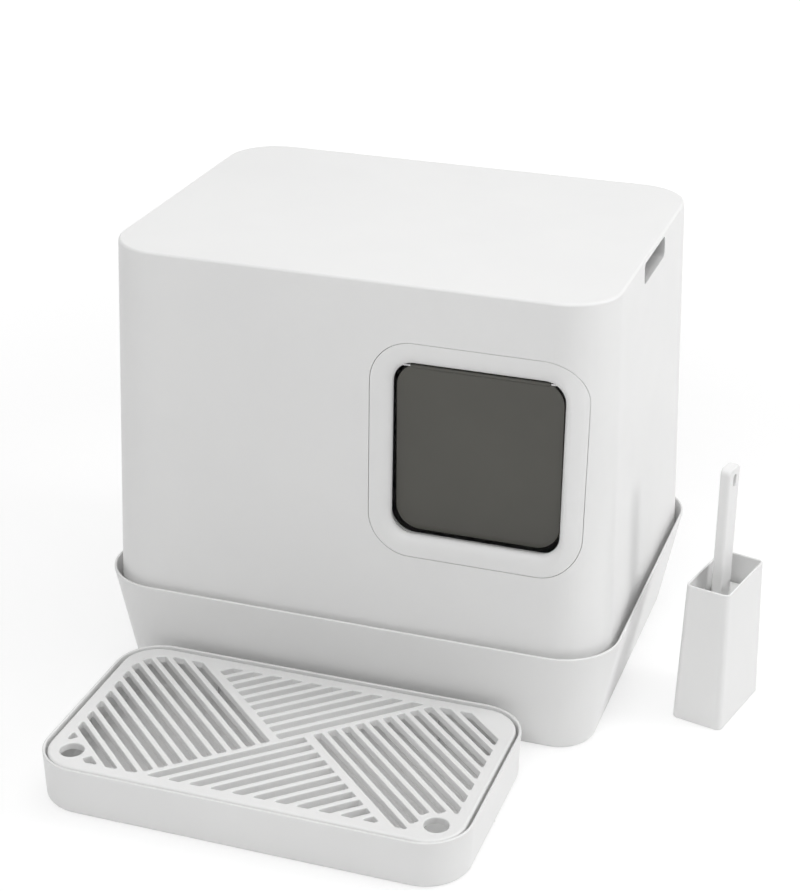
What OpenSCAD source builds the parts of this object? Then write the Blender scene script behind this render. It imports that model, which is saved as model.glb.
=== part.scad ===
// Hooded litter box: a base tray, a hood that drops into it, a framed flap in the hood's front,
// a step tray with a litter catching grid, and a scoop that stands in its own holder.
// Millimetres, +Z up, +Y towards the back. The origin is on the floor under the middle of the base tray.

/* [Hood] */
// Width of the hood's flat top
hood_top_width = 540; // [450:1:650]
// Depth of the hood's flat top
hood_top_depth = 396; // [330:1:480]
// Height of the hood
hood_height = 412; // [345:1:500]
// Outward lean of the hood's walls, in degrees
hood_draft = 1.63; // [0.5:0.01:2.5]
// Radius of the hood's upright corners
hood_corner_radius = 56.6; // [45:0.1:60]
// Radius of the hood's top edge
hood_top_round = 3; // [1:0.5:6]
// Wall of the hood
hood_wall = 3; // [2.4:0.1:4]

/* [Base tray] */
// Height of the base tray's rim
base_height = 124; // [100:1:150]
// Depth to which the hood drops below that rim
hood_overlap = 29; // [15:1:40]
// Outward lean of the base tray's walls, in degrees
base_lean = 11.05; // [8:0.05:14]
// Wall and floor of the base tray
base_wall = 3; // [2.4:0.1:4]
// Radius of the base tray's lower edge
base_foot_round = 5; // [2:0.5:8]
// Gap all round between the hood's lower edge and the base tray
seat_gap = 0.3; // [0.2:0.05:0.6]

/* [Doorway] */
// Distance from the hood's middle to the doorway's middle
door_offset = 139.8; // [110:0.1:142]
// Height of the doorway's middle above the hood's lower edge
door_middle = 233; // [200:1:240]
// Clear width of the doorway
door_width = 180; // [150:1:200]
// Clear height of the doorway
door_height = 190; // [160:1:215]
// Radius of the doorway's corners
door_corner_radius = 22; // [18:1:30]
// Width of the bezel from the doorway to its outer seam
bezel_width = 23.5; // [20:0.5:28]
// Width of the bezel's rolled inner edge
roll_width = 17; // [12:0.5:18]
// Depth of that roll
roll_depth = 8; // [5:0.5:8.5]
// Gap round the bezel that shows as its seam
seam_gap = 0.5; // [0.3:0.1:0.8]
// Thickness of the bezel's face
bezel_face = 6; // [6:0.5:7]
// Depth of the thin lip at the doorway, behind the roll
bezel_lip = 3; // [2:0.5:4]
// Thickness of the bezel's lip and skirt, and of the hood's collar round them
door_wall = 2.5; // [2:0.1:3]
// Depth of the bezel's skirt behind the hood's front face
skirt_depth = 15; // [15:0.5:18]
// Thickness of the collar's ledge and of the retaining ring behind it
ring_thickness = 3; // [2.5:0.5:4]
// Distance of the ring's screws from the doorway's sides
screw_side = 12; // [9:0.5:13]
// Height of the ring's screws above and below the doorway's middle
screw_up = 60; // [40:1:70]
// Diameter of the ring's screws
screw_diameter = 3; // [2.5:0.5:3.5]
// Diameter of the screws' heads
screw_head_diameter = 6; // [5:0.5:7]

/* [Flap] */
// Thickness of the flap
flap_thickness = 2.5; // [2:0.1:3]
// Gap between the flap and the doorway
flap_gap = 2; // [1.5:0.1:3]
// Radius of the flap's corners
flap_corner_radius = 26; // [26:1:34]
// Radius of the barrel along the flap's top
barrel_radius = 2.5; // [2.5:0.1:2.8]
// Diameter of the hinge rod
rod_diameter = 3; // [2.5:0.1:3.2]
// Gap between the bezel's lip and the hinge rod behind it
rod_gap = 1.5; // [1.4:0.1:2]
// Running clearance round the rod, on the radius
rod_clearance = 0.05; // [0.02:0.01:0.1]
// Radius of the ring's two rod bosses
boss_radius = 3.5; // [3.2:0.1:3.6]
// Radius of the bezel's four screw posts
post_radius = 4; // [3.5:0.1:4.5]

/* [Grip holes] */
// Length of each grip hole
grip_length = 96; // [80:1:110]
// Height of each grip hole
grip_height = 23; // [20:1:30]
// Corner radius of each grip hole
grip_corner_radius = 6; // [4:0.5:9.5]
// Distance of the grip hole's upper edge below the hood's top
grip_drop = 5; // [4:0.5:5]
// Depth of the lip that turns in round each grip hole
grip_lip_depth = 10; // [6:0.5:14]
// Thickness of that lip
grip_lip_wall = 2.5; // [2:0.1:3]

/* [Step tray and grid] */
// Width of the step tray's rim
tray_width = 459; // [380:1:552]
// Depth of the step tray's rim
tray_depth = 258; // [214:1:312]
// Height of the step tray
tray_height = 54; // [46:1:64]
// Inset of the step tray's foot on each side
tray_taper = 2; // [0:0.5:5]
// Wall and floor of the step tray
tray_wall = 3; // [2.4:0.1:4]
// Radius of the step tray's upright corners
tray_corner_radius = 50; // [42:1:60]
// Radius of the step tray's lower edge
tray_foot_round = 5; // [2:0.5:7]
// Distance of the step tray's middle to the right of the base tray's middle
tray_offset = -16; // [-40:1:40]
// Gap between the step tray's rim and the base tray behind it
tray_gap = 10; // [9:0.5:20]
// Gap between the grid and the step tray's rim
grid_clearance = 3.5; // [2:0.1:5]
// Thickness of the grid at its edge
grid_edge = 10.8; // [9:0.1:12]
// Depth of the grid's bars
bar_depth = 8; // [6:0.1:9]
// Depth of the grid's top below the step tray's rim
grid_drop = 1; // [0:0.5:4]
// Width of the plain border round the slots
grid_border = 14; // [11:0.5:18]
// Width of a slot
slot_width = 9.6; // [7:0.1:10.5]
// Distance from one slot to the next
slot_pitch = 15.6; // [14:0.1:18]
// Slant of the slots, in degrees
slot_slant = 43; // [40:0.5:46]
// Width of the two plain short strips between the fields of slots
strip_width = 10; // [7:0.5:12]
// Width of the long strip that they meet
long_strip_width = 6.5; // [5:0.5:12]
// Distance along the long strip between the two short strips that meet it
strip_stagger = 34; // [20:0.5:40]
// Shift of the short strips to the right of the grid's middle
short_strip_shift = 6.5; // [-15:0.5:15]
// Shift of the long strip, negative towards the front right
long_strip_shift = -4; // [-15:0.5:15]
// Diameter of the two finger holes
finger_hole_diameter = 25; // [22:0.5:28]
// Distance of each finger hole from the grid's side edge
finger_hole_side = 28; // [26:0.5:34]
// Distance of each finger hole from the grid's front edge
finger_hole_front = 30; // [26:0.5:34]
// Thickness of the ribs that carry the grid
rib_thickness = 2; // [2:0.1:4]
// Reach of those ribs from the step tray's wall
rib_reach = 5; // [5:0.5:12]
// Distance of the ribs on the front and back walls from the step tray's middle
rib_spread = 128; // [60:1:128]

/* [Scoop and holder] */
// Distance of the holder's middle to the right of the base tray's rim
holder_gap = 86.3; // [75:0.1:160]
// Distance of the holder's middle in front of the base tray's middle
holder_front = 46; // [-60:1:120]
// Clockwise turn of the holder and scoop, seen from above, in degrees
holder_turn = 13; // [0:1:15]
// Height of the holder
holder_height = 164; // [150:1:190]
// Width of the holder's rim
holder_width = 50; // [48:1:60]
// Depth of the holder's rim
holder_depth = 96; // [92:1:110]
// Outward growth of the holder's foot on each side
holder_flare = 4; // [0:0.5:6]
// Corner radius of the holder
holder_corner_radius = 7; // [4:0.5:10]
// Wall and floor of the holder
holder_wall = 2.5; // [2:0.1:3]
// Diameter of the small hole in the holder's left wall
holder_hole_diameter = 4; // [3:0.5:6]
// Distance of that hole in front of the holder's middle
holder_hole_front = 0; // [-30:1:30]
// Distance of that hole below the holder's rim
holder_hole_down = 26; // [10:1:40]
// Width of the scoop's head, from its open mouth to its slotted bed
head_width = 40; // [34:1:41]
// Length of the scoop's head across the mouth
head_depth = 84; // [78:1:86]
// Height of the scoop's head
head_height = 130; // [120:1:140]
// Wall of the scoop's head
head_wall = 2.5; // [2:0.1:3]
// Radius of the head's shoulder
head_round = 7; // [5:0.5:9]
// Thickness of the handle
handle_thickness = 12; // [10:0.5:14]
// Width of the handle
handle_width = 28; // [24:0.5:32]
// Shift of the handle from the head's middle towards its mouth
handle_shift = 4; // [0:0.5:6]
// Length of the handle
handle_length = 157; // [140:1:180]
// Corner radius of the handle's section
handle_corner_radius = 3.5; // [2.5:0.5:4.5]
// Height of a slot in the scoop's bed
sieve_height = 22; // [18:0.5:24]
// Width of a slot in the scoop's bed
sieve_width = 4.5; // [3.5:0.1:5]
// Distance from one slot in the bed to the next
sieve_pitch = 10; // [8.5:0.1:10.4]
// Distance from one row of those slots to the next
sieve_row_pitch = 30; // [27:0.5:31]
// Width of the hang slot
hang_width = 8; // [6:0.5:10]
// Height of the hang slot
hang_height = 14; // [12:0.5:18]

/* [Hidden] */
white = "#e6e6e6";
shade = "#55544f";
steel = "#b8b8b8";
corner_steps = 12;
round_steps = [0, 30, 60, 90];
fit_gap = 0.3;

// Hood and base tray: both outlines are worked out from the height at which the hood's lower edge sits
seat_z = base_height - hood_overlap;
hood_growth = hood_height * tan(hood_draft);
hood_foot_width = hood_top_width + 2 * hood_growth;
hood_foot_depth = hood_top_depth + 2 * hood_growth;
rim_spread = hood_overlap * tan(base_lean) + seat_gap + base_wall;
base_rim_width = hood_foot_width + 2 * rim_spread;
base_rim_depth = hood_foot_depth + 2 * rim_spread;
base_rim_radius = hood_corner_radius + rim_spread;
base_slope = tan(base_lean);

// Doorway: depths are measured inwards from the hood's front face
door_face_y = -hood_top_depth / 2 - (hood_height - door_middle) * tan(hood_draft);
ledge_depth = skirt_depth + ring_thickness;
ring_depth = ledge_depth + ring_thickness;
boss_drill = ledge_depth - bezel_face - 2;
pilot_radius = screw_diameter / 2 + 0.05;
clear_radius = screw_diameter / 2 + 0.2;
screw_head = 2;
axis_drop = flap_gap + barrel_radius;
axis_up = door_height / 2 - axis_drop;
axis_depth = bezel_face + bezel_lip + rod_gap + rod_diameter / 2;
axis_y = door_face_y + axis_up * sin(hood_draft) + axis_depth * cos(hood_draft);
axis_z = seat_z + door_middle + axis_up * cos(hood_draft) - axis_depth * sin(hood_draft);
flap_width = door_width - 2 * flap_gap;
flap_height = door_height - 2 * flap_gap;
flap_arc_side = flap_width / 2 - flap_corner_radius;
flap_arc_up = flap_height / 2 - flap_corner_radius;
arc_at_axis = sqrt(pow(flap_corner_radius, 2) - pow(axis_up - flap_arc_up, 2));
barrel_half = flap_arc_side + arc_at_axis;
boss_start = door_width / 2 + door_wall + 1;
boss_length = 4.5;
rod_half = boss_start + boss_length;
boss_middle = (rod_half + 1 + boss_start) / 2;

// Step tray and grid
tray_back = -base_rim_depth / 2 + (base_height - tray_height) * base_slope - tray_gap;
tray_y = tray_back - tray_depth / 2;
tray_slope = tray_taper / tray_height;
grid_width = tray_width - 2 * (tray_wall + grid_clearance);
grid_depth = tray_depth - 2 * (tray_wall + grid_clearance);
grid_radius = tray_corner_radius - tray_wall - 2 * grid_clearance;
grid_top = tray_height - grid_drop;
grid_bottom = grid_top - grid_edge;
grid_skirt = 3;
rib_top = grid_bottom - fit_gap;
hole_places = [for (side = [-1, 1])
    [side * (grid_width / 2 - finger_hole_side), finger_hole_front - grid_depth / 2]];
along_right = [cos(slot_slant), sin(slot_slant)];
along_left = [cos(slot_slant), -sin(slot_slant)];
across_right = [-sin(slot_slant), cos(slot_slant)];
across_left = [sin(slot_slant), cos(slot_slant)];
slot_radius = slot_width / 2;
shortest_slot = slot_width / 3;
hole_land = 4;
slot_lines = 20;

// Scoop and its holder
head_lift = holder_wall + fit_gap;
handle_foot = head_lift + head_height;
tenon_length = 12;
tenon_gap = 0.1;
mouth_edge = -head_width / 2;
sieve_rows = 3;
sieve_columns = 7;
tenon_width = handle_thickness - 4;
tenon_depth = handle_width - 6;

// Points of a rounded rectangle at one height, anticlockwise from the right
function outline(width, depth, radius, z) = [for (corner = [0:3], step = [0:corner_steps])
    let (a = 90 * (corner + step / corner_steps))
    let (side = corner == 0 || corner == 3 ? 1 : -1)
    let (end = corner < 2 ? 1 : -1)
    [side * (width / 2 - radius) + radius * cos(a), end * (depth / 2 - radius) + radius * sin(a), z]];

// Closed solid through a stack of such outlines, from the lowest to the highest
module loft(rings) {
    count = len(rings[0]);
    top = (len(rings) - 1) * count;
    sides = [for (a = [0:top - 1])
        let (b = a % count == count - 1 ? a - count + 1 : a + 1)
        each [[a, a + count, b + count], [a, b + count, b]]];
    polyhedron(points = [for (ring = rings) each ring],
        faces = concat([[for (i = [0:count - 1]) i], [for (i = [count - 1:-1:0]) top + i]], sides));
}

// Solid whose walls lean outwards to its rim, with a rounded edge at its foot
module rounded_foot(width, depth, radius, height, slope, foot_round) {
    foot = [for (a = round_steps)
        let (z = foot_round * (1 - cos(a)))
        let (in = (height - z) * slope + foot_round * (1 - sin(a)))
        outline(width - 2 * in, depth - 2 * in, radius - in, z)];
    loft(concat(foot, [outline(width, depth, radius, height)]));
}

// Inside of such a solid, run up past its rim
module hollow(width, depth, radius, height, slope, foot_round, wall) {
    grow = 2 * slope - 2 * wall;
    translate([0, 0, wall])
        rounded_foot(width + grow, depth + grow, radius + grow / 2, height - wall + 1, slope, foot_round);
}

module rounded_rectangle(width, height, radius) {
    square([width, height - 2 * radius], center = true);
    square([width - 2 * radius, height], center = true);
    for (side = [-1, 1], end = [-1, 1])
        translate([side * (width / 2 - radius), end * (height / 2 - radius)])
            circle(r = radius, $fn = 64);
}

module slot_outline(length, width) {
    square([length - width, width], center = true);
    for (end = [-1, 1])
        translate([end * (length - width) / 2, 0])
            circle(d = width, $fn = 32);
}

module base_tray() {
    color(white)
        difference() {
            rounded_foot(base_rim_width, base_rim_depth, base_rim_radius, base_height, base_slope,
                base_foot_round);
            hollow(base_rim_width, base_rim_depth, base_rim_radius, base_height, base_slope,
                base_foot_round, base_wall);
        }
}

module on_door() {
    translate([door_offset, door_face_y, seat_z + door_middle])
        rotate([90 - hood_draft, 0, 0])
            children();
}

// Slab behind the hood's front face, between two depths, with the doorway's outline grown by a width
module door_slab(from, to, grow) {
    on_door()
        translate([0, 0, -to])
            linear_extrude(to - from)
                rounded_rectangle(door_width + 2 * grow, door_height + 2 * grow, door_corner_radius + grow);
}

module at_screws(depth) {
    for (side = [-1, 1], end = [-1, 1])
        on_door()
            translate([side * (door_width / 2 + screw_side), end * screw_up, -depth])
                children();
}

// The hood's outer form, drawn in on all its walls: its corners keep one radius down to the foot
module hood_form(inset) {
    slope = tan(hood_draft);
    width = hood_top_width - 2 * inset;
    depth = hood_top_depth - 2 * inset;
    radius = hood_corner_radius - inset;
    shoulder = [for (a = round_steps)
        let (drop = hood_top_round * (1 - sin(a)))
        let (in = hood_top_round * (1 - cos(a)) - drop * slope)
        outline(width - 2 * in, depth - 2 * in, radius - hood_top_round * (1 - cos(a)), hood_height - drop)];
    translate([0, 0, seat_z - inset])
        loft(concat([outline(width + 2 * hood_growth, depth + 2 * hood_growth, radius, 0)], shoulder));
}

module grip_slab(side, from, to, grow) {
    side_x = hood_top_width / 2 + (grip_drop + grip_height / 2) * tan(hood_draft);
    translate([side * (side_x - from), 0, seat_z + hood_height - grip_drop - grip_height / 2])
        rotate([90, 0, -side * 90])
            linear_extrude(to - from)
                rounded_rectangle(grip_length + 2 * grow, grip_height + 2 * grow, grip_corner_radius + grow);
}

module hood_shell() {
    color(white)
        difference() {
            union() {
                difference() {
                    hood_form(0);
                    difference() {
                        hood_form(hood_wall);
                        door_slab(0, ledge_depth, bezel_width + door_wall);
                    }
                }
                for (side = [-1, 1])
                    grip_slab(side, hood_wall / 2, hood_wall + grip_lip_depth, grip_lip_wall);
            }
            door_slab(-hood_wall, skirt_depth, bezel_width);
            door_slab(0, ledge_depth + 1, bezel_width - door_wall);
            for (side = [-1, 1])
                grip_slab(side, -hood_wall, hood_wall + grip_lip_depth + 1, 0);
        }
}

// Cutter for the doorway and the rolled edge round it, a quarter ellipse from the bezel's face
module doorway_cut() {
    back = bezel_face + bezel_lip + 1;
    steps = [for (a = [90:-15:0]) [roll_width * (1 - sin(a)), roll_depth * (1 - cos(a))]];
    on_door()
        loft([for (step = concat([[0, back]], steps, [[roll_width, -1]]))
            outline(door_width + 2 * step[0], door_height + 2 * step[0], door_corner_radius + step[0],
                -step[1])]);
}

// Bezel: its face follows the hood's own outer form, which starts to curve round at the doorway's right
module door_bezel() {
    color(white)
        difference() {
            union() {
                difference() {
                    intersection() {
                        hood_form(0);
                        door_slab(-1, skirt_depth, bezel_width - seam_gap);
                    }
                    intersection() {
                        hood_form(hood_wall);
                        door_slab(bezel_face, skirt_depth + 1, bezel_width - seam_gap - door_wall);
                    }
                }
                door_slab(bezel_face - 1, bezel_face + bezel_lip, door_wall);
                intersection() {
                    hood_form(hood_wall / 2);
                    at_screws(ledge_depth)
                        cylinder(h = ledge_depth - bezel_face + 1, r = post_radius, $fn = 32);
                }
            }
            doorway_cut();
            at_screws(ledge_depth + 1)
                cylinder(h = boss_drill + 1, r = pilot_radius, $fn = 32);
        }
}

module door_inner_ring() {
    color(white)
        difference() {
            union() {
                difference() {
                    door_slab(ledge_depth, ring_depth, bezel_width - seam_gap);
                    door_slab(ledge_depth - 1, ring_depth + 1, door_wall + 2);
                }
                for (side = [-1, 1]) {
                    on_axis(side * boss_middle)
                        cylinder(h = rod_half + 1 - boss_start, r = boss_radius, center = true, $fn = 48);
                    on_door()
                        translate([side * boss_middle, axis_up, -(axis_depth + ring_depth) / 2])
                            cube([boss_length - 1, 2 * boss_radius - 1, ring_depth - axis_depth],
                                center = true);
                }
            }
            at_screws(ring_depth + 1)
                cylinder(h = ring_thickness + 2, r = clear_radius, $fn = 32);
            on_axis(0)
                cylinder(h = 2 * rod_half + 0.2, d = rod_diameter + 0.06, center = true, $fn = 48);
        }
}

module door_ring_screws() {
    color(steel)
        at_screws(ring_depth + screw_head) {
            cylinder(h = screw_head, d = screw_head_diameter, $fn = 32);
            cylinder(h = screw_head + ring_thickness + boss_drill - 0.5, d = screw_diameter, $fn = 32);
        }
}

// Places a piece on the hinge rod's line, with its own Z turned along that line
module on_axis(right) {
    translate([door_offset + right, axis_y, axis_z])
        rotate([0, 90, 0])
            children();
}

module flap_panel() {
    color(shade)
        difference() {
            union() {
                translate([door_offset, axis_y + flap_thickness / 2, axis_z - axis_up])
                    rotate([90, 0, 0])
                        linear_extrude(flap_thickness)
                            intersection() {
                                rounded_rectangle(flap_width, flap_height, flap_corner_radius);
                                translate([-flap_width, -flap_height])
                                    square([2 * flap_width, flap_height + axis_up]);
                            }
                on_axis(0)
                    cylinder(h = 2 * barrel_half, r = barrel_radius, center = true, $fn = 48);
            }
            on_axis(0)
                cylinder(h = 2 * flap_width, r = rod_diameter / 2 + rod_clearance, center = true, $fn = 48);
        }
}

module flap_hinge_rod() {
    color(steel)
        on_axis(0)
            cylinder(h = 2 * rod_half, d = rod_diameter, center = true, $fn = 48);
}

module step_tray() {
    color(white)
        translate([tray_offset, tray_y, 0])
            difference() {
                rounded_foot(tray_width, tray_depth, tray_corner_radius, tray_height, tray_slope,
                    tray_foot_round);
                difference() {
                    hollow(tray_width, tray_depth, tray_corner_radius, tray_height, tray_slope,
                        tray_foot_round, tray_wall);
                    tray_ribs();
                }
            }
}

// One rib in the middle of each side wall, and two each on the front and back walls
module tray_ribs() {
    reach = tray_wall + tray_taper + rib_reach;
    for (side = [-1, 1]) {
        translate([side * (tray_width - reach) / 2, 0, rib_top / 2])
            cube([reach, rib_thickness, rib_top], center = true);
        for (end = [-1, 1])
            translate([side * rib_spread, end * (tray_depth - reach) / 2, rib_top / 2])
                cube([rib_thickness, reach, rib_top], center = true);
    }
}

// Half planes as [normal x, normal y, reach]: the border round all slots, then the sides of each field
function border_planes() = [for (a = [0:22.5:337.5]) [cos(a), sin(a),
    abs(cos(a)) * (grid_width / 2 - grid_border - grid_radius)
    + abs(sin(a)) * (grid_depth / 2 - grid_border - grid_radius) + grid_radius]];
function side_plane(normal, sign, reach) = [sign * normal[0], sign * normal[1], reach];

// Stretch of the line p + t d that lies inside every half plane
function stretch(p, d, planes, i = 0, low = -1000, high = 1000) =
    i == len(planes) ? [low, high] :
    let (normal = [planes[i][0], planes[i][1]])
    let (gap = planes[i][2] - normal * p)
    let (rate = normal * d)
    abs(rate) < 0.001 ? (gap < -0.001 ? [1, -1] : stretch(p, d, planes, i + 1, low, high)) :
    rate > 0 ? stretch(p, d, planes, i + 1, low, min(high, gap / rate)) :
    stretch(p, d, planes, i + 1, max(low, gap / rate), high);

// What is left of a slot once a finger hole and the land round it are taken out: each piece is its
// two starts and its two ends, one of each for either side of the slot
function cut_by_hole(p, d, piece, hole) =
    let (centre = (hole - p) * d)
    let (miss = norm(hole - p - centre * d))
    let (keep = finger_hole_diameter / 2 + hole_land + slot_radius)
    miss >= keep ? [piece] :
    let (half = sqrt(keep * keep - miss * miss))
    [[piece[0], [for (t = piece[1]) min(t, centre - half)]],
        [[for (t = piece[0]) max(t, centre + half)], piece[1]]];

// Slots side by side, their ends cut along the border and the strips
module slot_field(first, step, d, planes) {
    side = [-d[1], d[0]] * slot_radius;
    for (k = [0:slot_lines]) {
        p = first + k * step;
        near = stretch(p - side, d, planes);
        far = stretch(p + side, d, planes);
        whole = [[near[0], far[0]], [near[1], far[1]]];
        for (left = cut_by_hole(p, d, whole, hole_places[0]), piece = cut_by_hole(p, d, left, hole_places[1]))
            if (min(piece[1] - piece[0]) > shortest_slot)
                polygon([p - side + piece[0][0] * d, p - side + piece[1][0] * d,
                    p + side + piece[1][1] * d, p + side + piece[0][1] * d]);
    }
}

// Four fields of slots: those at the sides follow the short strips, the others follow the long strip
module slots() {
    land = strip_width / 2;
    long_land = long_strip_width / 2;
    left_strip = short_strip_shift - strip_stagger / 2;
    right_strip = short_strip_shift + strip_stagger / 2;
    border = border_planes();
    left_edge = side_plane(across_left, 1, left_strip - land);
    right_edge = side_plane(across_left, -1, -right_strip - land);
    over_left = side_plane(across_left, -1, -left_strip - land);
    under_right = side_plane(across_left, 1, right_strip - land);
    above = side_plane(across_right, -1, -long_strip_shift - long_land);
    below = side_plane(across_right, 1, long_strip_shift - long_land);
    slot_field(across_left * (left_strip - land - slot_radius), across_left * -slot_pitch, along_left,
        concat(border, [left_edge, above]));
    slot_field(across_left * (right_strip + land + slot_radius), across_left * slot_pitch, along_left,
        concat(border, [right_edge, below]));
    slot_field(across_right * (long_strip_shift + long_land + slot_radius), across_right * slot_pitch,
        along_right, concat(border, [over_left, above]));
    slot_field(across_right * (long_strip_shift - long_land - slot_radius), across_right * -slot_pitch,
        along_right, concat(border, [under_right, below]));
}

module litter_grid() {
    color(white)
        translate([tray_offset, tray_y, grid_bottom])
            difference() {
                linear_extrude(grid_edge)
                    rounded_rectangle(grid_width, grid_depth, grid_radius);
                translate([0, 0, -1])
                    linear_extrude(grid_edge - bar_depth + 1)
                        rounded_rectangle(grid_width - 2 * grid_skirt, grid_depth - 2 * grid_skirt,
                            grid_radius - grid_skirt);
                translate([0, 0, -1])
                    linear_extrude(grid_edge + 2)
                        slots();
                for (place = hole_places)
                    translate([place[0], place[1], -1])
                        cylinder(h = grid_edge + 2, d = finger_hole_diameter, $fn = 48);
            }
}

module at_holder() {
    translate([base_rim_width / 2 + holder_gap, -holder_front, 0])
        rotate([0, 0, -holder_turn])
            children();
}

// The holder's outer form, or its hollow, which runs up past the rim
module holder_form(wall, over) {
    slope = holder_flare / holder_height;
    foot = holder_flare - wall * slope - wall;
    rim = -wall - over * slope;
    radius = holder_corner_radius - wall;
    loft([outline(holder_width + 2 * foot, holder_depth + 2 * foot, radius, wall),
        outline(holder_width + 2 * rim, holder_depth + 2 * rim, radius, holder_height + over)]);
}

module scoop_holder() {
    color(white)
        at_holder()
            difference() {
                holder_form(0, 0);
                holder_form(holder_wall, 1);
                translate([-holder_width / 2 - holder_flare - 1, -holder_hole_front,
                    holder_height - holder_hole_down])
                    rotate([0, 90, 0])
                        cylinder(h = holder_flare + 2 * holder_wall + 1, d = holder_hole_diameter, $fn = 32);
            }
}

// Side view of the scoop's head: mouth on the left, shoulder on top, bed curving down to the tip
function shoulder(x, z, radius, from, to) =
    [for (a = [from:15:to]) [x + radius * cos(a), z + radius * sin(a)]];
function bed_point(t, inset) =
    [mouth_edge + 3 + (head_width - 3 - inset) * pow(sin(90 * t), 0.62),
        inset + (head_height * 0.62) * (1 - cos(90 * t))];
function bed(inset) = [for (t = [0:0.0625:1]) bed_point(t, inset)];

module head_outline(inset) {
    top = head_height - inset;
    radius = head_round - inset;
    polygon(concat(
        [[mouth_edge, inset + 3]],
        bed(inset),
        shoulder(-mouth_edge - inset - radius, top - radius, radius, 0, 90),
        shoulder(mouth_edge + inset + radius, top - radius, radius, 90, 180)));
}

module mouth_cut() {
    translate([mouth_edge - 1, head_wall])
        square([2 + head_wall + head_round, head_height - 2 * head_wall - head_round]);
}

module head_slots() {
    top_row = head_height - head_round - sieve_height / 2 - 3;
    for (row = [0:sieve_rows - 1], column = [0:sieve_columns - 1])
        translate([0, (column - (sieve_columns - 1) / 2) * sieve_pitch, top_row - row * sieve_row_pitch])
            rotate([90, 0, 90])
                linear_extrude(head_width)
                    rotate(90)
                        slot_outline(sieve_height, sieve_width);
}

module scoop_head() {
    color(white)
        at_holder()
            translate([0, 0, head_lift])
                difference() {
                    translate([0, head_depth / 2, 0])
                        rotate([90, 0, 0])
                            linear_extrude(head_depth)
                                head_outline(0);
                    translate([0, head_depth / 2 - head_wall, 0])
                        rotate([90, 0, 0])
                            linear_extrude(head_depth - 2 * head_wall) {
                                head_outline(head_wall);
                                mouth_cut();
                            }
                    head_slots();
                    translate([-handle_shift, 0, head_height - head_wall - 1])
                        linear_extrude(head_wall + 2)
                            rounded_rectangle(tenon_width + 2 * tenon_gap, tenon_depth + 2 * tenon_gap, 2);
                }
}

module scoop_handle() {
    color(white)
        at_holder()
            translate([-handle_shift, 0, handle_foot])
                difference() {
                    union() {
                        intersection() {
                            linear_extrude(handle_length)
                                rounded_rectangle(handle_thickness, handle_width, handle_corner_radius);
                            translate([-handle_thickness, 0, 0])
                                rotate([90, 0, 90])
                                    linear_extrude(2 * handle_thickness)
                                        translate([0, handle_length / 2])
                                            rounded_rectangle(handle_width, handle_length, handle_width / 4);
                        }
                        translate([0, 0, -tenon_length])
                            linear_extrude(tenon_length + handle_width / 2)
                                rounded_rectangle(tenon_width, tenon_depth, 2);
                    }
                    translate([-handle_thickness, 0, handle_length - 8 - hang_height / 2])
                        rotate([90, 0, 90])
                            linear_extrude(2 * handle_thickness)
                                rotate(90)
                                    slot_outline(hang_height, hang_width);
                }
}

base_tray();
hood_shell();
door_bezel();
door_inner_ring();
door_ring_screws();
flap_panel();
flap_hinge_rod();
step_tray();
litter_grid();
scoop_head();
scoop_handle();
scoop_holder();
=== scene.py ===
import bpy
import math
import numpy as np
from mathutils import Matrix, Vector


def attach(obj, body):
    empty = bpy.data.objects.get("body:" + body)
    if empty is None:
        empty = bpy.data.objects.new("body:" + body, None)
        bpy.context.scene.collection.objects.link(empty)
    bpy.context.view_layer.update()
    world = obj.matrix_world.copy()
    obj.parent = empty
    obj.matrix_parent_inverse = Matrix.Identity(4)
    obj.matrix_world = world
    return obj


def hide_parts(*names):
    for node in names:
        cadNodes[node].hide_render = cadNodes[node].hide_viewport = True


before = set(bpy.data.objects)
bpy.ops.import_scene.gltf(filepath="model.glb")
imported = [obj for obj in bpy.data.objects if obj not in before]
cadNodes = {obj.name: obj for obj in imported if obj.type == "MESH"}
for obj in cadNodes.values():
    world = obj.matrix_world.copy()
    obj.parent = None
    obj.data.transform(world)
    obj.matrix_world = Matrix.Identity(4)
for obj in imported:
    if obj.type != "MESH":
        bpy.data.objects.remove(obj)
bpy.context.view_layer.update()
unit = 0.001  # sizes below are in millimetres, meshes in metres


def arc(count, start=0, end=90):
    # count angles in radians, evenly spread between two angles in degrees
    return np.radians(np.linspace(start, end, count))


def makeMesh(name, points, faces, material):
    # object at the origin, with its place in its mesh
    mesh = bpy.data.meshes.new(name)
    mesh.from_pydata((np.asarray(points) * unit).tolist(), [], faces)
    mesh.update()
    piece = bpy.data.objects.new(name, mesh)
    bpy.context.scene.collection.objects.link(piece)
    mesh.materials.append(material)
    return piece


def roundedRing(width, depth, radius, z, steps=16):
    # rounded rectangle, anticlockwise from the right: corner centre + radius * (cos a, sin a)
    turn = arc(steps + 1)
    parts = []
    for corner, (side, end) in enumerate([(1, 1), (-1, 1), (-1, -1), (1, -1)]):
        angle = turn + corner * math.pi / 2
        parts.append(np.c_[side * (width / 2 - radius) + radius * np.cos(angle),
                           end * (depth / 2 - radius) + radius * np.sin(angle)])
    return lying(np.concatenate(parts), z)


def circleLine(centre, radius, steps=40):
    # flat circle: centre + radius * (cos a, sin a)
    a = np.linspace(0, 2 * math.pi, steps, endpoint=False)
    return np.c_[centre[0] + radius * np.cos(a), centre[1] + radius * np.sin(a)]


def uprightSlot(middle, tall, wide, steps):
    # flat slot with round ends: half a circle about either end of its upright middle line
    reach, radius, ends = (tall - wide) / 2, wide / 2, []
    for up, start in ((middle[1] + reach, -90), (middle[1] - reach, 90)):
        angle = arc(steps, start, start + 180) + math.pi / 2
        ends.append(np.c_[middle[0] + radius * np.cos(angle), up + radius * np.sin(angle)])
    return np.concatenate(ends)


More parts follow.
